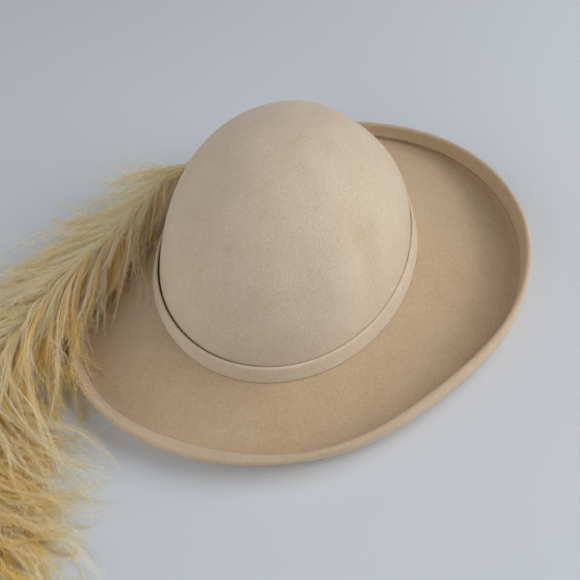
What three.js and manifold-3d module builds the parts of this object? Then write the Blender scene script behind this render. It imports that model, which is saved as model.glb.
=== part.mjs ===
// A wide-brimmed felt hat with a tall, round, uncreased crown. The brim is turned up all round and
// its edge is folded over as a hem. A narrow band of the same felt hides the joint, and one long
// ostrich plume is held against it at the back of the left side. Millimetres, +Z up, the wearer's
// front towards +Y, standing on z = 0.
import * as THREE from "three";
import { mergeVertices } from "three/addons/utils/BufferGeometryUtils.js";
import Module from "manifold-3d";

const wasm = await Module();
wasm.setup();

// Driving dimensions
const FELT = 2.2;
const GAP = 0.3;
const SPOKES = 72;
const HEAD = { halfWidth: 82.6, halfLength: 102 };
const CROWN = {
  top: 117.4, sunk: 8, roundness: 2.2, fullness: 2, waist: 0.015, lean: { x: 0.007, y: 0.008 },
};
const BRIM = { leaveSlope: -22.8, leavePull: 0.48, curlPull: 0.445, press: 0.6, midPull: 0.7, samples: 80 };
const HEM = {
  width: 14, thickness: 4.8, step: 0.8, under: [8.5, 3.5, 0.4], over: [0.4, 4.5, 9], fold: [-50, 0, 50],
};
const BAND = {
  height: 9.6, thickness: 2.2, topGap: 0.7, rightGap: 1.1, footGap: 1.4, flare: 0.6, bend: 0.42, round: 0.7,
};

// The hat all round, a row for each direction from +X, wearer's right, through the front at 90:
// height of the head line, then how far out the brim's edge reaches, how high it is lifted, and how
// steeply it is turned up there.
const AROUND = [
  { angle: 0, headLine: 15.5, reach: 158.6, lift: 22.5, curl: 93 },
  { angle: 30, headLine: 18.5, reach: 165, lift: 20.3, curl: 88 },
  { angle: 60, headLine: 20.7, reach: 162.3, lift: 13.4, curl: 86 },
  { angle: 90, headLine: 20.6, reach: 146.9, lift: 8.7, curl: 73 },
  { angle: 120, headLine: 19.5, reach: 133.9, lift: 6.5, curl: 64 },
  { angle: 150, headLine: 20, reach: 128, lift: 6.2, curl: 64 },
  { angle: 180, headLine: 21.3, reach: 135, lift: 8.9, curl: 72 },
  { angle: 210, headLine: 22.2, reach: 148.1, lift: 11.8, curl: 85 },
  { angle: 240, headLine: 21.1, reach: 164.2, lift: 13.6, curl: 77 },
  { angle: 270, headLine: 16.9, reach: 162.8, lift: 14.3, curl: 39 },
  { angle: 300, headLine: 13.2, reach: 156.1, lift: 16.8, curl: 80 },
  { angle: 330, headLine: 13.2, reach: 149.1, lift: 20.2, curl: 100 },
];

// Soft dents (and, with a negative depth, swellings) of the crown: direction and height of the
// middle, how far they run along and across, which way the long side is turned, and their depth.
const DENTS = [
  { name: "right dimple", angle: 338, height: 71, along: 26, across: 9, turn: 58, depth: 4.2 },
  { name: "swelling by the dimple", angle: 316, height: 78, along: 16, across: 13, turn: 60, depth: -2.2 },
  { name: "left hollow", angle: 222, height: 104, along: 24, across: 13, turn: 20, depth: 3 },
  { name: "top hollow", angle: 78, height: 108, along: 14, across: 9, turn: 0, depth: 2.2 },
  { name: "front groove", angle: 262, height: 60, along: 34, across: 6, turn: 4, depth: 1.7 },
  { name: "left waist", angle: 202, height: 50, along: 40, across: 22, turn: 0, depth: 1.4 },
  { name: "flat back shoulder", angle: 69, height: 84, along: 26, across: 15, turn: 0, depth: 2.3 },
  { name: "full right side", angle: 42, height: 50, along: 28, across: 22, turn: 0, depth: -1.9 },
  { name: "full left shoulder", angle: 148, height: 90, along: 40, across: 16, turn: 0, depth: -1.2 },
];

// Places along the plume's stem from where it leaves the band to the tip. Before them the quill lies
// against the band, in the directions that QUILL gives.
const STEM = [
  { x: -96, y: 29, z: 37, thick: 3.6 },
  { x: -99, y: 1, z: 42, thick: 3.6 },
  { x: -104, y: -28, z: 44, thick: 3.4 },
  { x: -113, y: -61, z: 40, thick: 3.2 },
  { x: -128, y: -100, z: 31, thick: 3.0 },
  { x: -141, y: -138, z: 19, thick: 2.6 },
  { x: -141, y: -178, z: 10, thick: 2.2 },
  { x: -124, y: -213, z: 7, thick: 1.8 },
  { x: -96, y: -240, z: 6, thick: 1.4 },
];
const QUILL = { angles: [112, 122, 132, 142], height: 6, thick: 3, bow: 0.5 };
// Locks of the plume: where along the stem, in shares of its length, and for the outer side and the
// side towards the hat their length, how far they open from the stem, and the height of their tips.
const LOCKS = [
  { along: 0.2, outer: 60, outerOpen: 40, outerTip: 24, inner: 60, innerOpen: 0, innerTip: 26 },
  { along: 0.26, outer: 84, outerOpen: 52, outerTip: 22, inner: 80, innerOpen: 6, innerTip: 20 },
  { along: 0.34, outer: 100, outerOpen: 56, outerTip: 18, inner: 90, innerOpen: 12, innerTip: 16 },
  { along: 0.43, outer: 104, outerOpen: 58, outerTip: 10, inner: 100, innerOpen: 24, innerTip: 10 },
  { along: 0.55, outer: 108, outerOpen: 56, outerTip: 4, inner: 110, innerOpen: 40, innerTip: 0 },
  { along: 0.7, outer: 108, outerOpen: 48, outerTip: 0, inner: 108, innerOpen: 48, innerTip: 0 },
  { along: 0.85, outer: 98, outerOpen: 40, outerTip: 0, inner: 94, innerOpen: 44, innerTip: 0 },
  { along: 0.97, outer: 76, outerOpen: 14, outerTip: 0, inner: 74, innerOpen: 18, innerTip: 0 },
];
const LOCK = {
  perSide: 10, steps: 5, width: 34, rootWidth: 0.35, narrowing: 0.75, thickness: 8, thinning: 0.6,
  rootShare: 0.3, tipShare: 0.85, arch: 5, fall: 1.5, clearance: 0.8,
};
const STEM_STEPS = 32;
const DENT_REACH = 40;

const radians = THREE.MathUtils.degToRad;

// Value of one column of a table at any place, on a smooth curve through its rows.
function smooth(before, from, to, after, t) {
  const square = t * t;
  const cube = square * t;
  return 0.5 * (2 * from + (to - before) * t + (2 * before - 5 * from + 4 * to - after) * square
    + (3 * from - before - 3 * to + after) * cube);
}

function around(column, degrees) {
  const count = AROUND.length;
  const place = (((degrees % 360) + 360) % 360) / 360 * count;
  const row = Math.floor(place);
  const value = (offset) => AROUND[(row + offset + count) % count][column];
  return smooth(value(-1), value(0), value(1), value(2), place - row);
}

function alongRows(rows, key, column, at) {
  const last = rows.length - 1;
  let row = 0;
  while (row < last - 1 && at > rows[row + 1][key]) row += 1;
  const share = (at - rows[row][key]) / (rows[row + 1][key] - rows[row][key]);
  return THREE.MathUtils.lerp(rows[row][column], rows[row + 1][column], THREE.MathUtils.clamp(share, 0, 1));
}

// Builds a solid from rings of points. Each ring has the same number of points. The rings close on
// the first one again, or end in caps, where a cap is a fan round the middle of its ring.
function ringSolid(rings, closed) {
  const size = rings[0].length;
  const points = rings.flat();
  const faces = [];
  const spans = closed ? rings.length : rings.length - 1;
  for (let i = 0; i < spans; i += 1) {
    const next = (i + 1) % rings.length;
    for (let j = 0; j < size; j += 1) {
      const k = (j + 1) % size;
      faces.push(i * size + j, next * size + j, next * size + k);
      faces.push(i * size + j, next * size + k, i * size + k);
    }
  }
  if (!closed) {
    const middle = (ring) => ring.reduce((sum, p) => sum.add(p), new THREE.Vector3()).divideScalar(size);
    points.push(middle(rings[0]), middle(rings[rings.length - 1]));
    const start = (rings.length - 1) * size;
    for (let j = 0; j < size; j += 1) {
      const k = (j + 1) % size;
      faces.push(points.length - 2, j, k);
      faces.push(points.length - 1, start + k, start + j);
    }
  }
  const geometry = new THREE.BufferGeometry().setFromPoints(points);
  geometry.setIndex(faces);
  if (volume(geometry) < 0) geometry.setIndex(faces.reverse());
  return geometry;
}

function volume(geometry) {
  const index = geometry.index;
  const at = (i) => new THREE.Vector3().fromBufferAttribute(geometry.attributes.position, index.getX(i));
  let sum = 0;
  for (let i = 0; i < index.count; i += 3) sum += at(i).dot(at(i + 1).cross(at(i + 2)));
  return sum / 6;
}

function spoke(degrees, radius, z) {
  const angle = radians(degrees);
  return new THREE.Vector3(radius * Math.cos(angle), radius * Math.sin(angle), z);
}

function headRadius(degrees) {
  const angle = radians(degrees);
  const { halfWidth, halfLength } = HEAD;
  return halfWidth * halfLength / Math.hypot(halfLength * Math.cos(angle), halfWidth * Math.sin(angle));
}

// Brim: the underside's curve in one direction, as points of radius and height with the way up from
// them. It leaves the head line downwards, rests on the floor and turns up to the edge.
function underside(degrees) {
  const start = new THREE.Vector2(headRadius(degrees), around("headLine", degrees));
  const end = new THREE.Vector2(around("reach", degrees), around("lift", degrees));
  const width = end.x - start.x;
  const leave = radians(BRIM.leaveSlope);
  const curl = radians(around("curl", degrees));
  const out = start.clone();
  out.x += width * BRIM.leavePull * Math.cos(leave);
  out.y += width * BRIM.leavePull * Math.sin(leave);
  const back = end.clone();
  back.x -= width * BRIM.curlPull * Math.cos(curl);
  back.y -= width * BRIM.curlPull * Math.sin(curl);
  for (let pass = 0; pass < 3; pass += 1) {
    const trial = new THREE.CubicBezierCurve(start, out, back, end).getPoints(BRIM.samples);
    const lowest = Math.min(...trial.map((p) => p.y));
    const sink = (lowest + BRIM.press) / BRIM.midPull;
    out.y -= sink;
    back.y -= sink;
  }
  const curve = new THREE.CubicBezierCurve(start, out, back, end);
  const length = curve.getLength();
  return (distance) => {
    const share = THREE.MathUtils.clamp(distance / length, 0, 1);
    const point = curve.getPointAt(share);
    const tangent = curve.getTangentAt(share);
    point.y = Math.max(point.y, 0);
    return { length, tangent, point, up: new THREE.Vector2(-tangent.y, tangent.x) };
  };
}

const FACE_SHARES = [0, 0.1, 0.22, 0.34, 0.45, 0.55, 0.64, 0.73, 0.82, 0.91, 1];

// One closed section of the brim: along the underside, round the folded edge, back over the hem and
// its raw edge, and along the upper face to the ring that the crown stands on.
function brimSection(degrees) {
  const at = underside(degrees);
  const length = at(0).length;
  const lifted = (distance, height) => {
    const place = at(distance);
    return place.point.clone().addScaledVector(place.up, height);
  };
  const inner = headRadius(degrees) - FELT;
  const line = around("headLine", degrees);
  const section = [new THREE.Vector2(inner, line)];
  for (const share of FACE_SHARES) section.push(lifted(share * (length - HEM.width), 0));
  for (const back of HEM.under) section.push(lifted(length - back, 0));
  const edge = at(length);
  const middle = edge.point.clone().addScaledVector(edge.up, HEM.thickness / 2);
  for (const turn of HEM.fold) {
    const point = middle.clone().addScaledVector(edge.tangent, HEM.thickness / 2 * Math.cos(radians(turn)));
    section.push(point.addScaledVector(edge.up, HEM.thickness / 2 * Math.sin(radians(turn))));
  }
  const rawEdge = HEM.width - HEM.step;
  for (const back of [...HEM.over, rawEdge]) section.push(lifted(length - back, HEM.thickness));
  section.push(lifted(length - HEM.width, FELT + HEM.step));
  for (const share of [...FACE_SHARES].reverse()) section.push(lifted(share * (length - HEM.width), FELT));
  section.push(new THREE.Vector2(inner, line + FELT));
  return section;
}

function spokes() {
  return Array.from({ length: SPOKES }, (_, i) => i * 360 / SPOKES);
}

const BRIM_SECTIONS = spokes().map((degrees) => brimSection(degrees));

function brimGeometry() {
  const place = (section, i) => section.map((p) => spoke(i * 360 / SPOKES, p.x, p.y));
  return ringSolid(BRIM_SECTIONS.map(place), true);
}

// Height of the brim's upper face at one place, or of the surface it stands on beyond its edge.
function topOfSection(section, radius) {
  let top = 0;
  for (let i = 0; i < section.length; i += 1) {
    const from = section[i];
    const to = section[(i + 1) % section.length];
    if ((from.x - radius) * (to.x - radius) > 0 || from.x === to.x) continue;
    top = Math.max(top, THREE.MathUtils.mapLinear(radius, from.x, to.x, from.y, to.y));
  }
  return top;
}

function topOfBrim(x, y) {
  const place = THREE.MathUtils.euclideanModulo(Math.atan2(y, x) / (2 * Math.PI), 1) * SPOKES;
  const before = Math.floor(place) % SPOKES;
  const radius = Math.hypot(x, y);
  const from = topOfSection(BRIM_SECTIONS[before], radius);
  const to = topOfSection(BRIM_SECTIONS[(before + 1) % SPOKES], radius);
  return THREE.MathUtils.lerp(from, to, place - Math.floor(place));
}

// Crown: a dome on the head line, its widest place a little sunk below its foot. The inner wall is
// the same dome made smaller by the felt.
function taper(rise) {
  return (1 - rise ** CROWN.roundness) ** (1 / CROWN.fullness);
}

function domePoint(degrees, share, wall) {
  const foot = around("headLine", degrees) + FELT + GAP;
  const height = foot + (CROWN.top - wall - foot) * share;
  const rise = (height - foot + CROWN.sunk) / (CROWN.top - wall - foot + CROWN.sunk);
  const radius = (headRadius(degrees) - wall) * taper(rise) * (1 - CROWN.waist * Math.sin(Math.PI * rise));
  const point = spoke(degrees, radius, height);
  point.x += CROWN.lean.x * (height - foot);
  point.y += CROWN.lean.y * (height - foot);
  return point.sub(dent(point));
}

// How far the dents move a point, towards the middle of the dome.
function dent(point) {
  const push = new THREE.Vector3();
  for (const { angle, height, along, across, turn, depth } of DENTS) {
    const foot = around("headLine", angle) - CROWN.sunk;
    const share = Math.min((height - foot) / (CROWN.top - foot), 0.97);
    const centre = spoke(angle, headRadius(angle) * taper(share), height);
    const outward = new THREE.Vector3(centre.x / HEAD.halfWidth ** 2, centre.y / HEAD.halfLength ** 2,
      centre.z / CROWN.top ** 2).normalize();
    const level = new THREE.Vector3(-outward.y, outward.x, 0).normalize();
    level.applyAxisAngle(outward, radians(turn));
    const steep = outward.clone().cross(level);
    const offset = point.clone().sub(centre);
    const spread = (offset.dot(level) / along) ** 2 + (offset.dot(steep) / across) ** 2;
    if (offset.dot(outward) < -DENT_REACH) continue;
    push.addScaledVector(outward, depth * Math.exp(-spread));
  }
  return push;
}

const CROWN_SHARES = [0, 0.14, 0.27, 0.4, 0.52, 0.63, 0.73, 0.82, 0.895, 0.95, 0.985];

function crownGeometry() {
  const ring = (share, wall) => spokes().map((degrees) => domePoint(degrees, share, wall));
  const inside = [...CROWN_SHARES].reverse().map((share) => ring(share, FELT));
  const outside = CROWN_SHARES.map((share) => ring(share, 0));
  return ringSolid([...inside, ...outside], false);
}

// Band: a strip of felt leaning on the crown, its foot spread a little on the brim.
function bandSection(degrees) {
  const head = headRadius(degrees);
  const foot = around("headLine", degrees) + FELT;
  const clear = (radius) => {
    const place = spoke(degrees, radius, 0);
    return topOfBrim(place.x, place.y) + GAP;
  };
  const footIn = head + BAND.footGap;
  const footOut = footIn + BAND.thickness + BAND.flare;
  const rise = BAND.height - BAND.round;
  const behind = domePoint(degrees, (rise - GAP) / (CROWN.top - foot - GAP), 0);
  const slack = BAND.topGap + BAND.rightGap * Math.max(0, Math.cos(radians(degrees)));
  const topIn = Math.hypot(behind.x, behind.y) + slack;
  const topOut = topIn + BAND.thickness;
  return [
    new THREE.Vector2(footIn, clear(footIn)),
    new THREE.Vector2(footOut, clear(footOut)),
    new THREE.Vector2((footOut + topOut) / 2, foot + BAND.height * BAND.bend),
    new THREE.Vector2(topOut, foot + rise),
    new THREE.Vector2((topIn + topOut) / 2, foot + BAND.height),
    new THREE.Vector2(topIn, foot + rise),
    new THREE.Vector2((footIn + topIn) / 2, foot + BAND.height * BAND.bend),
  ];
}

function bandGeometry() {
  const place = (degrees) => bandSection(degrees).map((p) => spoke(degrees, p.x, p.y));
  return ringSolid(spokes().map(place), true);
}

// Plume: a stem with locks on both sides, all fused into one solid.
function stemPlaces() {
  const against = QUILL.angles.map((angle) => {
    const foot = around("headLine", angle) + FELT;
    const [, , low, high] = bandSection(angle);
    const face = THREE.MathUtils.mapLinear(foot + QUILL.height, low.y, high.y, low.x, high.x);
    const { x, y, z } = spoke(angle, face + QUILL.thick / 2 + GAP + QUILL.bow, foot + QUILL.height);
    return { x, y, z, thick: QUILL.thick };
  });
  return [...against, ...STEM];
}

function stemCurve(places) {
  const points = places.map(({ x, y, z }) => new THREE.Vector3(x, y, z));
  return new THREE.CatmullRomCurve3(points, false, "centripetal");
}

// A strip of flattened section along a list of places. Each place has its point, its
// direction, its width and its thickness.
function strip(places) {
  const rings = places.map(({ point, direction, width, thickness }) => {
    const side = new THREE.Vector3(-direction.y, direction.x, 0).normalize();
    const up = direction.clone().cross(side).normalize();
    if (up.z < 0) up.negate();
    const corners = [[1, -0.4], [0, 1], [-1, -0.4], [0, -1]];
    return corners.map(([across, over]) => point.clone()
      .addScaledVector(side, across * width / 2).addScaledVector(up, over * thickness / 2));
  });
  return ringSolid(rings, false);
}

function lockGeometry(curve, along, sign) {
  const key = sign > 0 ? "inner" : "outer";
  const length = alongRows(LOCKS, "along", key, along);
  const open = alongRows(LOCKS, "along", `${key}Open`, along);
  const tip = alongRows(LOCKS, "along", `${key}Tip`, along);
  const root = curve.getPointAt(along);
  const forward = curve.getTangentAt(along).setZ(0).normalize();
  const up = new THREE.Vector3(0, 0, 1);
  const places = [];
  let point = root.clone();
  for (let i = 0; i <= LOCK.steps; i += 1) {
    const share = i / LOCK.steps;
    const opening = THREE.MathUtils.lerp(LOCK.rootShare, LOCK.tipShare, Math.min(share * 2, 1));
    const turned = sign * radians(open) * opening;
    const direction = forward.clone().applyAxisAngle(up, turned);
    if (i > 0) point = point.clone().addScaledVector(direction, length / LOCK.steps);
    const opened = THREE.MathUtils.lerp(LOCK.rootWidth, 1, Math.sin(Math.PI / 2 * Math.min(share * 2, 1)));
    const width = LOCK.width * opened * (1 - LOCK.narrowing * share ** 3);
    const thickness = LOCK.thickness * (1 - LOCK.thinning * share ** 2);
    point.z = THREE.MathUtils.lerp(root.z, tip, share ** LOCK.fall) + LOCK.arch * Math.sin(Math.PI * share);
    const side = new THREE.Vector3(-direction.y, direction.x, 0).multiplyScalar(width / 2);
    const under = [-1, -0.5, 0, 0.5, 1].map((k) => topOfBrim(point.x + k * side.x, point.y + k * side.y));
    const ground = Math.max(...under);
    const clearance = ground > 0 ? LOCK.clearance : 0;
    point.z = Math.max(point.z, ground + clearance + thickness / 2);
    places.push({ point, direction, width, thickness });
  }
  return strip(places);
}

function toSolid(geometry) {
  const merged = mergeVertices(new THREE.BufferGeometry()
    .setAttribute("position", geometry.attributes.position).setIndex(geometry.index));
  return new wasm.Manifold(new wasm.Mesh({
    numProp: 3,
    vertProperties: Float32Array.from(merged.attributes.position.array),
    triVerts: Uint32Array.from(merged.index.array),
  }));
}

function toGeometry(solid) {
  const { vertProperties, triVerts } = solid.getMesh();
  const geometry = new THREE.BufferGeometry();
  geometry.setAttribute("position", new THREE.Float32BufferAttribute(vertProperties, 3));
  return geometry.setIndex(Array.from(triVerts));
}

function plumeGeometry() {
  const rows = stemPlaces();
  const curve = stemCurve(rows);
  const places = Array.from({ length: STEM_STEPS + 1 }, (_, i) => {
    const share = i / STEM_STEPS;
    const row = share * (rows.length - 1);
    const low = Math.min(Math.floor(row), rows.length - 2);
    const thickness = THREE.MathUtils.lerp(rows[low].thick, rows[low + 1].thick, row - low);
    const point = curve.getPointAt(share);
    return { point, direction: curve.getTangentAt(share), width: thickness, thickness };
  });
  let solid = toSolid(strip(places));
  const first = LOCKS[0].along;
  const last = LOCKS[LOCKS.length - 1].along;
  for (let i = 0; i < LOCK.perSide; i += 1) {
    const along = THREE.MathUtils.lerp(first, last, i / (LOCK.perSide - 1));
    for (const sign of [-1, 1]) solid = solid.add(toSolid(lockGeometry(curve, along, sign)));
  }
  const outer = solid.decompose().filter((shell) => shell.volume() > 0);
  return toGeometry(outer.reduce((sum, shell) => sum.add(shell)));
}

// The assembled hat
const FELT_COLOUR = 0xd9b98f;
const PLUME_COLOUR = 0xe9d9a8;

function piece(name, geometry, color) {
  geometry.computeVertexNormals();
  const material = new THREE.MeshStandardMaterial({ color, roughness: 0.95, metalness: 0 });
  const mesh = new THREE.Mesh(geometry, material);
  mesh.name = name;
  return mesh;
}

const hat = new THREE.Group();
hat.add(piece("crown", crownGeometry(), FELT_COLOUR));
hat.add(piece("brim", brimGeometry(), FELT_COLOUR));
hat.add(piece("hat_band", bandGeometry(), FELT_COLOUR));
hat.add(piece("plume", plumeGeometry(), PLUME_COLOUR));

// The origin is under the middle of the whole, on the surface that it stands on.
const bounds = new THREE.Box3().setFromObject(hat);
const middle = bounds.getCenter(new THREE.Vector3());
hat.position.set(-middle.x, -middle.y, -bounds.min.z);

const assembly = new THREE.Group();
assembly.add(hat);
export default assembly;
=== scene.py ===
import math

import bmesh
import bpy
import numpy as np
from mathutils import Matrix, Quaternion, Vector
from mathutils.bvhtree import BVHTree


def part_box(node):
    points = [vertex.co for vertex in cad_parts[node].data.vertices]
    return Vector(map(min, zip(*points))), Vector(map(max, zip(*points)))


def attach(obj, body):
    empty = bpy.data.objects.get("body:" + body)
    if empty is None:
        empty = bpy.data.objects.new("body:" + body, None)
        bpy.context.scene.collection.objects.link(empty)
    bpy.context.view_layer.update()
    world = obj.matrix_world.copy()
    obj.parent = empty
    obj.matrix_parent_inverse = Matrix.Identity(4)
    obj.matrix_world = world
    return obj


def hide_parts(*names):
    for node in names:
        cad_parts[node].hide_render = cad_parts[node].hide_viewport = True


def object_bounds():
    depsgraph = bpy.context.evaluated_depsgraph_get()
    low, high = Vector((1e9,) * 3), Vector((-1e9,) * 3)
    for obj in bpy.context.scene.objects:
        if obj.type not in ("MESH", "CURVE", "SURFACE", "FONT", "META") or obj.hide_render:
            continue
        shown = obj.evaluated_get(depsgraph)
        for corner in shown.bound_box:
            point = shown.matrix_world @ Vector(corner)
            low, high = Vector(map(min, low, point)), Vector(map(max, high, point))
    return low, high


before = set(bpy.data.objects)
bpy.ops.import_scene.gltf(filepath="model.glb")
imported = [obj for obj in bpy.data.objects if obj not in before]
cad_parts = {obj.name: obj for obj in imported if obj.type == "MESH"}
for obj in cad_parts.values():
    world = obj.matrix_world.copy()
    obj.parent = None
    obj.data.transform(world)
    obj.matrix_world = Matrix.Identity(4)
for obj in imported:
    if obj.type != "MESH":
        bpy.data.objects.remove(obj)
solid_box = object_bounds()

# Crown: a hood of wool felt blocked by hand over a tall round form, then left uncreased. Years of
# handling have pressed a few soft dents into it. The form comes from its plain solid, which a
# subdivision surface rounds off, and the felt is short matted fibres with a fine nap.
MM = 0.001
FELT_LIGHT = (0.77, 0.63, 0.455)
FELT_DARK = (0.58, 0.435, 0.28)
# browner colours that the felt is blended towards, by the browning that each piece is given
BROWNER_LIGHT = (0.67, 0.475, 0.29)
BROWNER_DARK = (0.47, 0.3, 0.155)
FELT_PATTERNS = {
    # the single fibres, their clumps, the clouds of blocking and those of wear: size in metres,
    # detail, roughness, and how far it changes the tone
    "grain": (0.55 * MM, 4, 0.7, 0.7),
    "clump": (1.8 * MM, 3, 0.6, 1.1),
    "cloud": (16 * MM, 2, 0.5, 0.4),
    "wear": (60 * MM, 2, 0.5, 0.5),
}
GRAIN_RELIEF = 0.35
CLUMP_RELIEF = 0.65
NAP_DEPTH = 0.6 * MM
FELT_SHEEN = 0.35
FELT_SHEEN_COLOUR = (1.0, 0.93, 0.82)
# near_edge has this value at the hem's raw edge, and one less for each millimetre away from it
EDGE_VALUE = 10
# painted shade in the crevice beside the hem's raw edge: its colour, how dark it gets at most, and
# its width in millimetres
CREVICE_SHADOW_COLOUR = (0.2, 0.12, 0.06)
CREVICE_SHADE = 0.8
CREVICE_WIDTH = 1.7
ROUNDING_LEVELS = 2
DIMPLE_SHADE_MARKS = (
    # painted shade down the shaded side of the right dimple, in millimetres from the middle of the
    # head: right, forwards, up, how far the painted shade reaches and how strong it is
    (53.5, -22.0, 88.6, 6, 0.3),
    (57.1, -23.7, 81.0, 6, 0.45),
    (59.7, -24.2, 73.6, 6, 0.4),
    (62.5, -25.5, 66.0, 9, 0.15),
)
crown_low, crown_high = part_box("crown")
HEAD_CENTRE = Vector(((crown_low.x + crown_high.x) / 2, (crown_low.y + crown_high.y) / 2, 0))


class Socket:
    """An output socket in a finish. Arithmetic on it adds the Math nodes that do it."""

    def __init__(self, tree, output):
        self.tree = tree
        self.output = output

    def math(self, operation, *values):
        settings = {"operation": operation}
        return add_node(self.tree, "ShaderNodeMath", settings, dict(enumerate(values)))

    def __add__(self, other):
        return self.math("ADD", self, other)

    def __radd__(self, other):
        return self.math("ADD", other, self)

    def __sub__(self, other):
        return self.math("SUBTRACT", self, other)

    def __rsub__(self, other):
        return self.math("SUBTRACT", other, self)

    def __mul__(self, other):
        return self.math("MULTIPLY", self, other)

    def __rmul__(self, other):
        return self.math("MULTIPLY", other, self)


def add_node(tree, kind, settings, inputs, output=0):
    """Adds a node, sets it up, then fills its sockets with values or with other nodes' sockets."""
    node = tree.nodes.new(kind)
    for key, value in settings.items():
        setattr(node, key, value)
    for key, value in inputs.items():
        if isinstance(value, Socket):
            tree.links.new(value.output, node.inputs[key])
        else:
            node.inputs[key].default_value = value
    return Socket(tree, node.outputs[output]) if node.outputs else node


def new_finish(name):
    """A new material and its empty node tree."""
    material = bpy.data.materials.new(name)
    material.use_nodes = True
    material.node_tree.nodes.clear()
    return material, material.node_tree


def blend_colours(tree, share, first, second):
    """The colour between two colours, each given as three numbers or as a socket. A Mix node has
    its share at input 0, its two colours at inputs 6 and 7, and the colour between at output 2."""
    start, end = (part if isinstance(part, Socket) else (*part, 1) for part in (first, second))
    inputs = {0: share, 6: start, 7: end}
    return add_node(tree, "ShaderNodeMix", {"data_type": "RGBA"}, inputs, 2)


def noise(tree, place, size, detail=3, roughness=0.5):
    """A cloudy pattern from 0 to 1, of that size in metres."""
    inputs = {"Vector": place, "Scale": 1 / size, "Detail": detail, "Roughness": roughness}
    return add_node(tree, "ShaderNodeTexNoise", {}, inputs)


def point_value(tree, name):
    """The number that a piece's points carry under a name: the Attribute node's output 2."""
    return add_node(tree, "ShaderNodeAttribute", {"attribute_name": name}, {}, 2)


def felt_finish(name, lightness, browning):
    """Matted fibre: a fine nap, its clumps, and the soft clouds of blocking and of handling. It is
    made darker and browner by the browning given, less along the brim's rim, and it carries painted
    shade in the crown's right dimple and in the crevice beside the hem's raw edge."""
    material, tree = new_finish(name)
    place = add_node(tree, "ShaderNodeTexCoord", {}, {}, "Object")
    patterns = {}
    tone = lightness
    for kind, (size, detail, roughness, strength) in FELT_PATTERNS.items():
        patterns[kind] = noise(tree, place, size, detail, roughness)
        tone = (patterns[kind] - 0.5) * strength + tone
    clean = blend_colours(tree, tone, FELT_DARK, FELT_LIGHT)
    browner = blend_colours(tree, tone, BROWNER_DARK, BROWNER_LIGHT)
    # darker and browner by each piece's browning, less along the brim's rim
    browning_kept = 1 - point_value(tree, "rim_paler")
    # the painted shade of the crown's right dimple is added to the browning here
    browning_and_shade = browning_kept * (patterns["wear"] + 0.5) * browning + point_value(tree, "dimple_shade")
    felted = blend_colours(tree, browning_and_shade, clean, browner)
    # painted shade in the crevice beside the hem's raw edge, darkest at the edge and fading away
    # from it
    reach = (point_value(tree, "near_edge") - EDGE_VALUE) * (1 / CREVICE_WIDTH) + 1
    line = add_node(tree, "ShaderNodeClamp", {}, {"Value": reach})
    colour = blend_colours(tree, line * CREVICE_SHADE, felted, CREVICE_SHADOW_COLOUR)
    height = patterns["grain"] * GRAIN_RELIEF + patterns["clump"] * CLUMP_RELIEF
    relief = {"Strength": 0.8, "Distance": NAP_DEPTH, "Height": height}
    inputs = {
        "Base Color": colour, "Roughness": 0.95, "Specular IOR Level": 0.2,
        "Normal": add_node(tree, "ShaderNodeBump", {}, relief), "Sheen Weight": FELT_SHEEN,
        "Sheen Roughness": 0.55, "Sheen Tint": (*FELT_SHEEN_COLOUR, 1),
    }
    shader = add_node(tree, "ShaderNodeBsdfPrincipled", {}, inputs)
    add_node(tree, "ShaderNodeOutputMaterial", {}, {"Surface": shader})
    return material


def join_quads(form):
    """Joins each pair of triangles that make one facet."""
    bmesh.ops.join_triangles(
        form, faces=form.faces, angle_face_threshold=math.radians(60),
        angle_shape_threshold=math.radians(120), topology_influence=1.0)


def rounded_copy(node, name, shape):
    """A new piece with the form of a plain solid, shaped further and with its facets rounded."""
    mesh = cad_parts[node].data.copy()
    mesh.name = name
    mesh.materials.clear()
    form = bmesh.new()
    form.from_mesh(mesh)
    bmesh.ops.remove_doubles(form, verts=form.verts, dist=0.01 * MM)
    shape(form)
    for face in form.faces:
        face.smooth = True
    form.to_mesh(mesh)
    form.free()
    piece = bpy.data.objects.new(name, mesh)
    bpy.context.collection.objects.link(piece)
    rounding = piece.modifiers.new("rounding", "SUBSURF")
    rounding.levels = ROUNDING_LEVELS
    rounding.render_levels = ROUNDING_LEVELS
    return piece


def shape_crown(form):
    """Joins the facets, and notes where painted shade darkens the right dimple."""
    join_quads(form)
    dimple_shade = form.verts.layers.float.new("dimple_shade")
    for vert in form.verts:
        for *place, reach, strength in DIMPLE_SHADE_MARKS:
            away = (vert.co - HEAD_CENTRE - Vector(place) * MM).length / (reach * MM)
            vert[dimple_shade] += strength * math.exp(-away * away)


def finish_piece(piece, material, replaced=None):
    """Gives a piece its material, says what it rides on, and hides the plain solid that it
    replaces.
    """
    piece.data.materials.append(material)
    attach(piece, "root")
    if replaced:
        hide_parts(replaced)


felt = felt_finish("cream_felt", lightness=0.62, browning=0.05)
crown = rounded_copy("crown", "felt_crown", shape_crown)
finish_piece(crown, felt, "crown")

# Brim: a second piece of the same felt, steamed wide and turned up all round. Its edge is folded
# over on to the upper face as a hem, whose raw edge stays a crisp step.
BRIM_SPOKES = 72
INNER_RING = 0.1 * MM
# points of a section, by the numbers that number_sections gives them
RAW_EDGE = (21, 22)
# the rim's points of a section, and the share by which they get less browning than the rest of the
# brim
PALER_RIM_POINTS = range(13, 22)
RAW_EDGE_SHARPNESS = 0.9
PALER_RIM_SHARE = 0.4


def spoke_at(away):
    """Which of the brim's spokes lies in that direction from the middle of the head."""
    return round(math.atan2(away.y, away.x) / math.tau * BRIM_SPOKES) % BRIM_SPOKES


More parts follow.
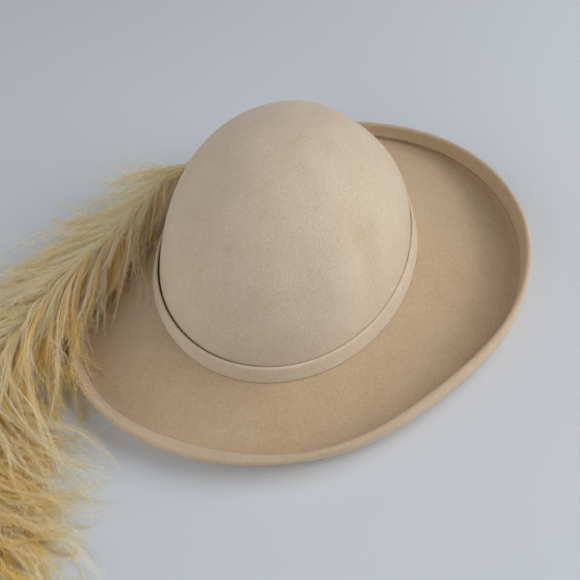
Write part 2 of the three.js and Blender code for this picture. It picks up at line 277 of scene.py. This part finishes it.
def number_sections(form):
    """Numbers the brim's spokes, and in each its points, from the inner lower corner outwards along
    the underside and back over the upper face."""
    spoke_number = form.verts.layers.int.new("spoke")
    point_number = form.verts.layers.int.new("point")
    by_spoke = {}
    for vert in form.verts:
        vert[spoke_number] = spoke_at(vert.co - HEAD_CENTRE)
        by_spoke.setdefault(vert[spoke_number], []).append(vert)
    for section in by_spoke.values():
        reach = {vert: (vert.co - HEAD_CENTRE).xy.length for vert in section}
        inner = min(reach.values()) + INNER_RING
        order = [min((vert for vert in section if reach[vert] < inner), key=lambda vert: vert.co.z)]
        while len(order) < len(section):
            beside = [edge.other_vert(order[-1]) for edge in order[-1].link_edges]
            beside = [vert for vert in beside if vert in reach and vert not in order]
            order.append(max(beside, key=reach.get) if len(order) == 1 else beside[0])
        for number, vert in enumerate(order):
            vert[point_number] = number
    return spoke_number, point_number


def shape_brim(form):
    """Leaves only the edges along and round the brim, and keeps the hem's raw edge crisp."""
    near_edge = form.verts.layers.float.new("near_edge")
    rim_paler = form.verts.layers.float.new("rim_paler")
    crease = form.edges.layers.float.new("crease_edge")
    spoke_number, point_number = number_sections(form)
    slanting = []
    for edge in form.edges:
        first, second = edge.verts
        if first[spoke_number] == second[spoke_number]:
            continue
        if first[point_number] != second[point_number]:
            slanting.append(edge)
    bmesh.ops.dissolve_edges(form, edges=slanting)
    for edge in form.edges:
        first, second = (vert[point_number] for vert in edge.verts)
        if first == second and first in RAW_EDGE:
            edge[crease] = RAW_EDGE_SHARPNESS
    corners = {}
    for vert in form.verts:
        if vert[point_number] == RAW_EDGE[0]:
            corners[vert[spoke_number]] = vert.co
    # near_edge sets where the painted shade of the raw edge's crevice lies
    for vert in form.verts:
        away = (vert.co - corners[vert[spoke_number]]).length / MM
        vert[near_edge] = EDGE_VALUE - away if vert[point_number] >= RAW_EDGE[0] - 1 else 0
        vert[rim_paler] = PALER_RIM_SHARE if vert[point_number] in PALER_RIM_POINTS else 0


# the brim's felt is set darker and browner than the crown's, less so along its rim
brim_felt = felt_finish("cream_felt_brim", lightness=0.5, browning=0.75)
brim = rounded_copy("brim", "felt_brim", shape_brim)
finish_piece(brim, brim_felt, "brim")

# Hat band: a narrow strip of the same felt, cut with a clean edge and drawn round the foot of the
# crown, where it hides the joint with the brim. It stands off the crown by a hair.
BAND_SHARPNESS = 0.4
BAND_EDGE_ANGLE = math.radians(40)
BAND_HEIGHT = 9.6 * MM
BAND_SNUG = 2.2 * MM


def shape_band(form):
    """Joins the facets, keeps the strip's cut edges, and draws its top in on the right."""
    join_quads(form)
    feet = {}
    for vert in form.verts:
        spoke = spoke_at(vert.co - HEAD_CENTRE)
        feet[spoke] = min(feet.get(spoke, vert.co.z), vert.co.z)
    for vert in form.verts:
        away = vert.co - HEAD_CENTRE
        outward = away.to_2d().normalized()
        height = min((vert.co.z - feet[spoke_at(away)]) / BAND_HEIGHT, 1)
        vert.co -= outward.to_3d() * (BAND_SNUG * height * max(outward.x, 0))
    crease = form.edges.layers.float.new("crease_edge")
    for edge in form.edges:
        if len(edge.link_faces) == 2 and edge.calc_face_angle() > BAND_EDGE_ANGLE:
            edge[crease] = BAND_SHARPNESS


band_felt = felt_finish("cream_felt_band", lightness=0.78, browning=0.15)
band = rounded_copy("hat_band", "felt_hat_band", shape_band)
finish_piece(band, band_felt, "hat_band")

# Hem stitches: short tacks of buff cotton thread that hold the folded hem down. Each comes up
# through the brim beside the hem, crosses the raw edge and goes down through the folded felt.
STITCH_ANGLES = (
    15, 36, 57, 78, 99, 120, 141, 162, 183, 204, 226, 247, 268.5, 272, 291, 312, 333, 354,
)
STITCH_RADIUS = 0.28 * MM
STITCH_HEIGHT = 0.35 * MM
STITCH_ALONG = (
    # from which point of the section to which, how far between them, and how high over the felt
    (23, 24, 0.12, 0.0),
    (22, 21, 0.4, 1.0),
    (21, 20, 0.1, 1.2),
    (21, 20, 0.3, 0.0),
)
THREAD_SIDES = 6
THREAD_PLY = 0.3 * MM
THREAD_COLOUR = (0.85, 0.74, 0.55)
THREAD_SHADE = 0.7


def swept(form, places, sides):
    """A closed round rod through places of x, y, z and radius."""
    points = [Vector(place[:3]) for place in places]
    stands = []
    for i, place in enumerate(places):
        along = points[min(i + 1, len(points) - 1)] - points[max(i - 1, 0)]
        turn = along.to_track_quat("Z", "Y").to_matrix().to_4x4()
        stands.append(Matrix.Translation(points[i]) @ turn @ Matrix.Scale(place[3], 4))
    disc = bmesh.ops.create_circle(
        form, cap_ends=True, segments=sides, radius=1, matrix=stands[0])
    edges = list(dict.fromkeys(edge for vert in disc["verts"] for edge in vert.link_edges))
    for before, after in zip(stands, stands[1:]):
        grown = bmesh.ops.extrude_edge_only(form, edges=edges)["geom"]
        ring = {item for item in grown if isinstance(item, bmesh.types.BMVert)}
        new_edges = [item for item in grown if isinstance(item, bmesh.types.BMEdge)]
        edges = [edge for edge in new_edges if ring.issuperset(edge.verts)]
        bmesh.ops.transform(form, matrix=after @ before.inverted(), verts=list(ring))
    bmesh.ops.contextual_create(form, geom=edges)


def piece_from(form, name):
    """Makes a bmesh a smooth piece, with its faces pointing outwards."""
    bmesh.ops.recalc_face_normals(form, faces=form.faces)
    for face in form.faces:
        face.smooth = True
    mesh = bpy.data.meshes.new(name)
    form.to_mesh(mesh)
    form.free()
    piece = bpy.data.objects.new(name, mesh)
    bpy.context.collection.objects.link(piece)
    return piece


def section_point(numbers, angle, point):
    """A numbered point of the brim's section in any direction, from the sections beside it."""
    at = angle / 360 * BRIM_SPOKES
    low = math.floor(at)
    before, after = (numbers[spoke % BRIM_SPOKES, point] for spoke in (low, low + 1))
    return before.lerp(after, at - low)


def thread_finish():
    """Plied cotton: plain, matt, a little uneven."""
    material, tree = new_finish("buff_thread")
    place = add_node(tree, "ShaderNodeTexCoord", {}, {}, "Object")
    darker = tuple(THREAD_SHADE * part for part in THREAD_COLOUR)
    colour = blend_colours(tree, noise(tree, place, THREAD_PLY), darker, THREAD_COLOUR)
    inputs = {"Base Color": colour, "Roughness": 0.85}
    shader = add_node(tree, "ShaderNodeBsdfPrincipled", {}, inputs)
    add_node(tree, "ShaderNodeOutputMaterial", {}, {"Surface": shader})
    return material


spokes = brim.data.attributes["spoke"].data
points = brim.data.attributes["point"].data
brim_numbers = {}
for vert in brim.data.vertices:
    brim_numbers[spokes[vert.index].value, points[vert.index].value] = vert.co.copy()
stitch_form = bmesh.new()
for angle in STITCH_ANGLES:
    places = []
    for start, end, share, height in STITCH_ALONG:
        first, second = (section_point(brim_numbers, angle, point) for point in (start, end))
        place = first.lerp(second, share) + Vector((0, 0, height * STITCH_HEIGHT))
        places.append((*place, STITCH_RADIUS))
    swept(stitch_form, places, THREAD_SIDES)
stitches = piece_from(stitch_form, "hem_stitches")
thread = thread_finish()
finish_piece(stitches, thread)

# Plume stem: the horny shaft of one long ostrich feather. Its bare quill lies against the band at
# the back of the left side, and from there it arches out over the brim and droops to the surface.
QUILL_ANGLES = (112, 122, 132, 142)
QUILL_HEIGHT = 27.9 * MM
QUILL_STAND_OFF = 2.3 * MM
QUILL_RADIUS = 1.5 * MM
OUTSIDE_BAND = 0.2
STEM_PLACES = (
    # millimetres from the middle of the head: right, forwards, up, and the shaft's radius
    (-96, 29, 37, 1.7),
    (-99, 1, 42, 1.6),
    (-104, -28, 44, 1.5),
    (-113, -61, 40, 1.3),
    (-128, -100, 31, 1.15),
    (-141, -138, 19, 0.95),
    (-141, -178, 10, 0.75),
    (-124, -213, 7, 0.6),
    (-96, -240, 6, 0.4),
)
STEM_STEPS = 90
STEM_SIDES = 8
CURVE_STEPS = 40
HORN_BROWN = (0.55, 0.38, 0.18)
HORN_PALE = (0.8, 0.68, 0.45)
HORN_STREAK = 1.5 * MM
HORN_SMOOTHEST = 0.3
HORN_DULLING = 0.25


def solid_tree(*nodes):
    """The plain solids' faces, ready to be met by a ray."""
    verts, faces = [], []
    for node in nodes:
        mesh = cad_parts[node].data
        faces += [[len(verts) + i for i in face.vertices] for face in mesh.polygons]
        verts += [vert.co.copy() for vert in mesh.vertices]
    return BVHTree.FromPolygons(verts, faces)


def outward_at(angle):
    """Level direction away from the middle of the head, for an angle in degrees."""
    return Vector((math.cos(math.radians(angle)), math.sin(math.radians(angle)), 0))


def quill_places(angles):
    """Where the quill's middle runs along the band, in those directions from the head's middle."""
    tree = solid_tree("hat_band")
    places = []
    for outward in map(outward_at, angles):
        start = HEAD_CENTRE + outward * OUTSIDE_BAND + Vector((0, 0, QUILL_HEIGHT))
        touched = tree.ray_cast(start, -outward)[0]
        places.append((*(touched + outward * QUILL_STAND_OFF), QUILL_RADIUS))
    return places


def curve_through(places, steps):
    """Evenly spaced places on a smooth curve through the given ones, in all their columns."""
    rows = np.array(places, float)
    spans = np.sqrt(np.linalg.norm(np.diff(rows[:, :3], axis=0), axis=1))
    knots = np.concatenate([[0], np.cumsum(spans)])
    slopes = np.gradient(rows, knots, axis=0)
    fine = np.linspace(0, knots[-1], CURVE_STEPS * len(rows))
    at = np.clip(np.searchsorted(knots, fine, "right") - 1, 0, len(rows) - 2)
    span = (knots[at + 1] - knots[at])[:, None]
    t = (fine - knots[at])[:, None] / span
    start = rows[at] * (2 * t**3 - 3 * t**2 + 1) + slopes[at] * span * (t**3 - 2 * t**2 + t)
    end = rows[at + 1] * (3 * t**2 - 2 * t**3) + slopes[at + 1] * span * (t**3 - t**2)
    curve = start + end
    lengths = np.linalg.norm(np.diff(curve[:, :3], axis=0), axis=1)
    run = np.concatenate([[0], np.cumsum(lengths)])
    even = np.linspace(0, run[-1], steps + 1)
    return np.stack([np.interp(even, run, column) for column in curve.T], axis=1)


def horn_finish():
    """Pale horn, browner and smoother in streaks along the shaft."""
    material, tree = new_finish("quill_horn")
    place = add_node(tree, "ShaderNodeTexCoord", {}, {}, "Object")
    streaks = noise(tree, place, HORN_STREAK)
    colour = blend_colours(tree, streaks, HORN_BROWN, HORN_PALE)
    inputs = {"Base Color": colour, "Roughness": streaks * HORN_DULLING + HORN_SMOOTHEST}
    shader = add_node(tree, "ShaderNodeBsdfPrincipled", {}, inputs)
    add_node(tree, "ShaderNodeOutputMaterial", {}, {"Surface": shader})
    return material


stem_places = quill_places(QUILL_ANGLES)
for x, y, z, radius in STEM_PLACES:
    stem_places.append((*(HEAD_CENTRE + Vector((x, y, z)) * MM), radius * MM))
stem = curve_through(stem_places, STEM_STEPS)
stem_form = bmesh.new()
swept(stem_form, [tuple(place) for place in stem], STEM_SIDES)
stem_piece = piece_from(stem_form, "plume_stem")
finish_piece(stem_piece, horn_finish(), "plume")

# Quill tacks: three turns of the same buff cotton thread that hold the plume on the hat. Each goes
# over the bare quill and into the felt of the band behind it.
TACK_ANGLES = (116, 127, 138)
TACK_RADIUS = 0.25 * MM
TACK_TURN = (
    # millimetres from the quill's middle: away from the band, and up
    (-2.2, -1.75),
    (0.0, -1.75),
    (1.24, -1.24),
    (1.75, 0.0),
    (1.24, 1.24),
    (0.0, 1.75),
    (-2.2, 1.75),
)
tack_form = bmesh.new()
for angle, middle in zip(TACK_ANGLES, quill_places(TACK_ANGLES)):
    outward = outward_at(angle)
    turn = [Vector(middle[:3]) + (outward * out + Vector((0, 0, up))) * MM for out, up in TACK_TURN]
    swept(tack_form, [(*point, TACK_RADIUS) for point in turn], THREAD_SIDES)
tacks = piece_from(tack_form, "quill_tacks")
finish_piece(tacks, thread)

# Plume barbs: the soft strands of an ostrich feather, equal on both sides of the shaft. Each is a
# thread with downy barbules along it, and old ones cling to each other in ropes. They run from
# straw gold to pale cream and are paler at their tips; the layers underneath are set a deeper gold
# than those on top, partly as painted shade deep in the plume.
LOCK_ROWS = (
    # share of the stem's length; then for the outer side and for the side of the hat: length,
    # how far it opens from the stem in degrees, and the height of the tip, in millimetres
    (0.19, 62, 36, 26, 58, 0, 26),
    (0.24, 86, 52, 22, 76, 2, 20),
    (0.32, 104, 58, 18, 84, 6, 16),
    (0.42, 106, 60, 14, 90, 12, 10),
    (0.49, 107, 59, 10, 100, 34, 5),
    (0.55, 108, 58, 6, 118, 64, 0),
    (0.63, 108, 56, 2, 124, 82, 0),
    (0.72, 106, 52, 0, 118, 88, 0),
    (0.85, 98, 42, 0, 100, 78, 0),
    (0.97, 76, 14, 0, 84, 50, 0),
)
BARB_GROUPS = (
    # name, side of the stem, shares of the stem between which it grows, ropes, barbs in each,
    # barbules on each side of a barb, their size, share of the full length, height of the arch in
    # millimetres, looseness, paleness (low in the layers underneath, partly as painted shade), seed
    ("plume_down_outer", -1, 0.3, 0.995, 120, 2, 110, 2.1, 0.8, 1, 1.4, 0.0, 11),
    ("plume_down_inner", 1, 0.26, 0.995, 150, 2, 110, 2.1, 0.66, 1, 1.1, -0.2, 12),
    ("plume_barbs_outer_root", -1, 0.17, 0.45, 72, 4, 136, 1.15, 1.0, 4, 1.3, 1.2, 13),
    ("plume_barbs_inner_root", 1, 0.17, 0.45, 72, 4, 136, 1.15, 0.95, 5, 0.9, 0.9, 14),
    ("plume_barbs_outer_middle", -1, 0.43, 0.72, 72, 4, 136, 1.15, 1.0, 8, 1.2, 1.0, 15),
    ("plume_barbs_inner_middle", 1, 0.43, 0.72, 80, 4, 136, 1.15, 1.0, 9, 0.9, 0.65, 16),
    ("plume_barbs_outer_tip", -1, 0.7, 0.995, 60, 4, 136, 1.15, 1.0, 8, 1.3, 0.6, 17),
    ("plume_barbs_inner_tip", 1, 0.7, 0.995, 80, 4, 136, 1.15, 1.0, 8, 1.1, 0.3, 18),
)
# how a rope leaves the stem, arches, waves and falls; angles in degrees
ROOT_SCATTER = 0.005
ROOT_OPENING = 8
ROOT_SPREAD = 14
LENGTH_RANGE = (0.55, 1.06)
OPENING_RANGE = (0.3, 1.1)
OPENING_SPREAD = 6
ARCH_RANGE = (0.3, 1.4)
ARCH_EARLY = 0.6
BEND_SPREAD = 10
WAVE_TURN = 25
WAVE_RANGE = (4, 9)
TIP_SPREAD = 3 * MM
FALL = 1.5
# how the barbs of a rope wind round it, stray from it and part at their tips; radii in millimetres
BARB_STEPS = 15
BARB_RADIUS = 0.2 * MM
BARB_TAPER = 0.75
BARB_CORNERS = 3
TWIST_SPREAD = 2.5
STRAY_FACTORS = (0.5, 0.9, 2.4)
STRAY_SHARES = (0.45, 0.35, 0.2)
ROPE_STARTS_BY = 8
ROPE_RADIUS = 0.9
ROPE_WIDENING = 1.6
FLARE_LENGTH = 5
FLARE_LATE = 3.5
# the barbules; lengths in millimetres
BARBULE_WIDTH = 0.13 * MM
BARBULE_FIRST = 0.02
BARBULE_LENGTH = (1.8, 4.2)
BARBULE_SHORTEST = 0.35
BARBULE_OPENING = (0.3, 0.75)
BARBULE_OPENING_SPREAD = 0.15
BARBULE_FLATTENING = 0.7
BARBULE_SAG = 0.05
FULL_FROM = 0.1
FULL_SPAN = 0.85
# where the barbs may go
HEAD_HALF = Vector((82.6, 102, 0)) * MM
CROWN_CLEARANCE = 1.05
HAT_CLEARANCE = 1.2 * MM
SURFACE_CLEARANCE = 0.5 * MM
BARBULE_CLEARANCE = 0.2 * MM
OVER_HAT = 0.3
LIFTS = 4
REACH_SHARE = 0.03
REACH_MORE = 7 * MM
TINY = 1e-9
# their colours; the deep gold stands partly for painted shade deep in the plume
DOWN_GOLD_AND_SHADE = (1.0, 0.7, 0.17)
DOWN_PALE = (1.0, 0.96, 0.8)
DOWN_THROUGH = (1.0, 0.895, 0.58)
DOWN_SHEEN_COLOUR = (1.0, 0.93, 0.74)
DOWN_THROUGH_SHARE = 0.5
TIP_PALENESS = 0.5
ROPE_TONE_SPREAD = 0.32
BARB_TONE_SPREAD = 0.08


def lock_measures(side, along):
    """Length, opening and height of the tip of the barbs that leave the stem at those shares."""
    rows = np.array(LOCK_ROWS)
    first = 1 if side < 0 else 4
    length, opening, tip = (np.interp(along, rows[:, 0], rows[:, first + i]) for i in range(3))
    return length * MM, opening, tip * MM


def rope_paths(side, along, reach, arch, loose, chance):
    """Middle lines of the ropes that leave the stem at those shares, as points by rope and step."""
    steps = np.linspace(0, 1, STEM_STEPS + 1)
    slopes = [np.gradient(stem[:, i]) for i in range(2)]
    root = np.stack([np.interp(along, steps, stem[:, i]) for i in range(3)], axis=1)
    ahead = np.stack([np.interp(along + 0.01, steps, slope) for slope in slopes], axis=1)
    heading = np.arctan2(ahead[:, 1], ahead[:, 0])
    length, opening, tip = lock_measures(side, along)
    count = len(along)
    length = length * reach * chance.uniform(*LENGTH_RANGE, count)
    opened = opening * chance.uniform(*OPENING_RANGE, count)
    opened = opened + chance.normal(0, OPENING_SPREAD * loose, count)
    first = chance.normal(ROOT_OPENING, ROOT_SPREAD, count)
    arch = arch * MM * chance.uniform(*ARCH_RANGE, count)
    bend = chance.normal(0, BEND_SPREAD * loose, count)
    wave = chance.uniform(0, math.tau, count)
    waves = chance.uniform(*WAVE_RANGE, count)
    t = np.linspace(0, 1, BARB_STEPS + 1)
    turning = np.minimum(t * 2, 1)
    turning = turning * turning * (3 - 2 * turning)
    turned = first[:, None] + (opened - first)[:, None] * turning + bend[:, None] * t**2
    curl = math.radians(WAVE_TURN) * loose**2 * t * np.sin(waves[:, None] * t + wave[:, None])
    turned = side * np.radians(turned) + curl
    heads = heading[:, None] + turned
    stride = length[:, None] / BARB_STEPS
    x = root[:, :1] + np.cumsum(stride * np.cos(heads), axis=1) - stride * np.cos(heads[:, :1])
    y = root[:, 1:2] + np.cumsum(stride * np.sin(heads), axis=1) - stride * np.sin(heads[:, :1])
    drop = t**FALL
    rise = np.sin(math.pi * t**ARCH_EARLY)
    tip = tip + chance.normal(0, TIP_SPREAD, count)
    z = root[:, 2:] * (1 - drop) + tip[:, None] * drop + arch[:, None] * rise
    return np.stack([x, y, z], axis=2)


def across_paths(paths):
    """Unit directions along, beside and above every point of the paths."""
    along = np.gradient(paths, axis=1)
    along /= np.linalg.norm(along, axis=2, keepdims=True)
    beside = np.cross(along, [0, 0, 1])
    beside /= np.linalg.norm(beside, axis=2, keepdims=True)
    return along, beside, np.cross(beside, along)


def barb_paths(ropes, each, loose, chance):
    """Middle lines of the barbs: those of one rope wind round it and part towards their tips."""
    _, beside, above = across_paths(ropes)
    paths, beside, above = (np.repeat(part, each, axis=0) for part in (ropes, beside, above))
    count = len(paths)
    t = np.linspace(0, 1, BARB_STEPS + 1)[None, :, None]
    start = chance.uniform(0, math.tau, (count, 1, 1))
    twist = chance.normal(0, TWIST_SPREAD, (count, 1, 1))
    stray = chance.choice(STRAY_FACTORS, (count, 1, 1), p=STRAY_SHARES)
    radius = MM * stray * loose * np.minimum(t * ROPE_STARTS_BY, 1)
    radius = radius * (ROPE_RADIUS + ROPE_WIDENING * t**2)
    offset = np.cos(start + twist * t) * beside + np.sin(start + twist * t) * above
    flare = chance.normal(0, 1, (count, 1, 3)) * FLARE_LENGTH * MM * loose * t**FLARE_LATE
    return paths + offset * radius + flare


def keep_inside(paths):
    """Shortens the barbs that would reach too far beyond the plain solids' box."""
    low, high = (np.array(corner) for corner in solid_box)
    margin = (high - low) * REACH_SHARE + REACH_MORE
    root = paths[:, :1]
    away = paths - root
    room_high = np.where(away > 0, (high + margin - root) / np.maximum(away, TINY), 1)
    room_low = np.where(away < 0, (root - low + margin) / np.maximum(-away, TINY), 1)
    room = np.minimum(room_high, room_low)[:, :, :2].min(axis=(1, 2))
    paths[:, :, :2] = root[:, :, :2] + away[:, :, :2] * np.minimum(room, 1)[:, None, None]
    return paths


def keep_clear(paths):
    """Lifts the barbs off the hat and the surface, and keeps them outside the crown."""
    tree = solid_tree("brim", "hat_band")
    centre = np.array(HEAD_CENTRE[:2])
    half = np.array(HEAD_HALF[:2])
    away = paths[:, :, :2] - centre
    inside = np.sqrt(((away / half)**2).sum(axis=2, keepdims=True))
    paths[:, :, :2] = centre + away * np.maximum(CROWN_CLEARANCE / inside, 1)
    floor = np.full(paths.shape[:2], SURFACE_CLEARANCE)
    down = Vector((0, 0, -1))
    for i, path in enumerate(paths):
        for j, point in enumerate(path):
            touched = tree.ray_cast(Vector((point[0], point[1], OVER_HAT)), down)[0]
            if touched:
                floor[i, j] = touched.z + HAT_CLEARANCE
    for _ in range(LIFTS):
        height = np.maximum(paths[:, :, 2], floor)
        height[:, 1:-1] = (height[:, :-2] + 2 * height[:, 1:-1] + height[:, 2:]) / 4
        paths[:, :, 2] = np.maximum(height, floor)
    return paths


def thread_mesh(paths, beside, above):
    """Three-sided threads along the paths, thinner towards their tips: points and quads."""
    count, steps = paths.shape[:2]
    thin = BARB_RADIUS * (1 - BARB_TAPER * np.linspace(0, 1, steps))[None, :, None]
    corners = [
        paths + thin * (beside * math.cos(turn) + above * math.sin(turn))
        for turn in (math.pi / 2, math.pi * 7 / 6, math.pi * 11 / 6)
    ]
    points = np.stack(corners, axis=2).reshape(-1, 3)
    start = (np.arange(count) * steps)[:, None] + np.arange(steps - 1)
    start = start.reshape(-1, 1) * BARB_CORNERS
    turns = np.arange(BARB_CORNERS)
    after = (turns + 1) % BARB_CORNERS
    ahead = start + BARB_CORNERS
    quads = np.stack([start + turns, start + after, ahead + after, ahead + turns], axis=2)
    return points, quads.reshape(-1, 4)


def barbule_mesh(paths, axes, each, size, loose, chance):
    """Downy barbules, one thin leaf each, on both sides of every barb: points, leaves, and how far
    along its barb each grows. They are longest in the middle of the barb."""
    count, steps = paths.shape[:2]
    share = chance.uniform(BARBULE_FIRST, 1, (count, 2 * each))
    place = share * (steps - 1)
    low = np.minimum(place.astype(int), steps - 2)
    part = (place - low)[:, :, None]
    who = np.arange(count)[:, None]
    base = paths[who, low] * (1 - part) + paths[who, low + 1] * part
    forward, sideways, upward = (axis[who, low] for axis in axes)
    roll = chance.uniform(0, math.tau, (count, 2 * each, 1))
    opening = loose * chance.uniform(*BARBULE_OPENING, (count, 1, 1))
    opening = opening + chance.normal(0, BARBULE_OPENING_SPREAD, (count, 2 * each, 1))
    outward = sideways * np.cos(roll) + upward * np.sin(roll) * BARBULE_FLATTENING
    lean = forward * np.cos(opening) + outward * np.sin(opening)
    along_barb = np.clip(share * FULL_SPAN + FULL_FROM, 0, 1)
    fullness = np.sin(math.pi * along_barb)[:, :, None] ** 0.5
    length = chance.uniform(*BARBULE_LENGTH, (count, 2 * each, 1)) * MM
    length = length * (BARBULE_SHORTEST + (1 - BARBULE_SHORTEST) * fullness) * loose**0.5
    length = length * size
    tip = base + lean * length
    hanging = tip[:, :, 2] - BARBULE_SAG * length[:, :, 0]
    tip[:, :, 2] = np.maximum(hanging, BARBULE_CLEARANCE)
    half = forward * BARBULE_WIDTH * size
    points = np.stack([base - half, base + half, tip], axis=2).reshape(-1, 3)
    return points, np.arange(len(points)).reshape(-1, 3), share


def barb_piece(
        name, side, first, last, ropes, each, barbules, size, reach, arch, loose, pale, seed):
    """One group of barbs as a joined mesh. Its points carry how far they are from root to tip, and
    the tone of their barb."""
    chance = np.random.default_rng(seed)
    roots = np.linspace(first, last, ropes) + chance.normal(0, ROOT_SCATTER, ropes)
    middles = rope_paths(side, np.clip(roots, first, last), reach, arch, loose, chance)
    paths = keep_clear(keep_inside(barb_paths(middles, each, loose, chance)))
    axes = across_paths(paths)
    thread_points, quads = thread_mesh(paths, *axes[1:])
    leaf_points, leaves, share = barbule_mesh(paths, axes, barbules, size, loose, chance)
    points = np.concatenate([thread_points, leaf_points])
    faces = quads.tolist() + (leaves + len(thread_points)).tolist()
    mesh = bpy.data.meshes.new(name)
    mesh.from_pydata(points.tolist(), [], faces)
    steps = np.linspace(0, 1, BARB_STEPS + 1)
    thread_share = np.tile(np.repeat(steps, BARB_CORNERS), len(paths))
    run = np.concatenate([thread_share, np.repeat(share.ravel(), 3)])
    rope_tone = pale + chance.normal(0, ROPE_TONE_SPREAD, ropes)[np.repeat(np.arange(ropes), each)]
    tone = rope_tone + chance.normal(0, BARB_TONE_SPREAD, len(paths))
    thread_tone = np.repeat(tone, BARB_CORNERS * (BARB_STEPS + 1))
    tones = np.concatenate([thread_tone, np.repeat(tone, 3 * 2 * barbules)])
    for attribute, values in (("root_to_tip", run), ("tone", tones)):
        mesh.attributes.new(attribute, "FLOAT", "POINT").data.foreach_set("value", values)
    piece = bpy.data.objects.new(name, mesh)
    bpy.context.collection.objects.link(piece)
    return piece


def down_finish():
    """Ostrich down: a deep gold in the layers underneath, partly as painted shade, pale cream
    above, and a little see-through.
    """
    material, tree = new_finish("ostrich_down")
    paleness = point_value(tree, "tone") + point_value(tree, "root_to_tip") * TIP_PALENESS
    share = add_node(tree, "ShaderNodeClamp", {}, {"Value": paleness})
    inputs = {
        "Base Color": blend_colours(tree, share, DOWN_GOLD_AND_SHADE, DOWN_PALE), "Roughness": 0.7,
        "Specular IOR Level": 0.25, "Sheen Weight": 0.45, "Sheen Roughness": 0.5,
        "Sheen Tint": (*DOWN_SHEEN_COLOUR, 1),
    }
    shader = add_node(tree, "ShaderNodeBsdfPrincipled", {}, inputs)
    through = add_node(tree, "ShaderNodeBsdfTranslucent", {}, {"Color": (*DOWN_THROUGH, 1)})
    inputs = {0: DOWN_THROUGH_SHARE, 1: shader, 2: through}
    mixed = add_node(tree, "ShaderNodeMixShader", {}, inputs)
    add_node(tree, "ShaderNodeOutputMaterial", {}, {"Surface": mixed})
    return material


down = down_finish()
for group in BARB_GROUPS:
    finish_piece(barb_piece(*group), down)

# Surface: the plain, pale blue-grey sheet that the hat lies on. It is only there for the render,
# and isn't part of the hat.
SURFACE_HALF = 3
SURFACE_COLOUR = (0.72, 0.735, 0.74)
surface_form = bmesh.new()
bmesh.ops.create_grid(surface_form, x_segments=1, y_segments=1, size=SURFACE_HALF)
surface = piece_from(surface_form, "surface")
paper, paper_tree = new_finish("pale_surface")
paper_inputs = {"Base Color": (*SURFACE_COLOUR, 1), "Roughness": 0.8}
paper_shader = add_node(paper_tree, "ShaderNodeBsdfPrincipled", {}, paper_inputs)
add_node(paper_tree, "ShaderNodeOutputMaterial", {}, {"Surface": paper_shader})
surface.data.materials.append(paper)

# Light and camera: soft window light from the right and a little behind, with a pale room round
# it. The camera looks down at the hat from behind its right side, as the photograph does.
CAMERA_AZIMUTH = math.radians(24.23)
CAMERA_ELEVATION = math.radians(51.36)
CAMERA_ROLL = math.radians(-5.49)
CAMERA_DISTANCE = 0.578
CAMERA_TARGET = Vector((17.3, -39.5, 30)) * MM
CAMERA_LENS = 56.28
LAMPS = (
    # name, azimuth and elevation in degrees as the camera's, size in metres, watts
    ("window_low", 104, 16, 1.4, 16),
    ("window_high", 118, 46, 1.3, 12.6),
    ("room_left", 290, 18, 1.4, 8.5),
    ("room_near", 345, 38, 1.4, 8),
)
LAMP_DISTANCE = 1.6
LAMP_COLOUR = (0.95, 0.98, 1.05)
ROOM_COLOUR = (0.85, 0.93, 1.0)
ROOM_STRENGTH = 0.03


def direction(azimuth, elevation):
    """Towards a camera or a lamp: from behind the hat at azimuth 0, and up from the surface."""
    level = math.cos(elevation)
    return Vector((math.sin(azimuth) * level, -math.cos(azimuth) * level, math.sin(elevation)))


def add_lamp(name, azimuth, elevation, size, watts):
    """A square lamp that faces the foot of the hat."""
    lamp = bpy.data.lights.new(name, "AREA")
    lamp.energy = watts
    lamp.size = size
    lamp.color = LAMP_COLOUR
    holder = bpy.data.objects.new(name, lamp)
    towards = direction(math.radians(azimuth), math.radians(elevation))
    holder.location = HEAD_CENTRE + towards * LAMP_DISTANCE
    holder.rotation_euler = (-towards).to_track_quat("-Z", "Y").to_euler()
    bpy.context.collection.objects.link(holder)


for lamp_row in LAMPS:
    add_lamp(*lamp_row)
world = bpy.data.worlds.new("room")
world.use_nodes = True
room = world.node_tree.nodes["Background"].inputs
room["Color"].default_value = (*ROOM_COLOUR, 1)
room["Strength"].default_value = ROOM_STRENGTH
bpy.context.scene.world = world
bpy.context.scene.view_settings.view_transform = "Standard"

camera_data = bpy.data.cameras.new("camera")
camera_data.lens = CAMERA_LENS
camera_data.clip_start = 0.01
camera = bpy.data.objects.new("camera", camera_data)
back = direction(CAMERA_AZIMUTH, CAMERA_ELEVATION)
camera.location = HEAD_CENTRE + CAMERA_TARGET + back * CAMERA_DISTANCE
camera.rotation_mode = "QUATERNION"
camera.rotation_quaternion = (-back).to_track_quat("-Z", "Y") @ Quaternion((0, 0, 1), CAMERA_ROLL)
bpy.context.collection.objects.link(camera)
bpy.context.scene.camera = camera
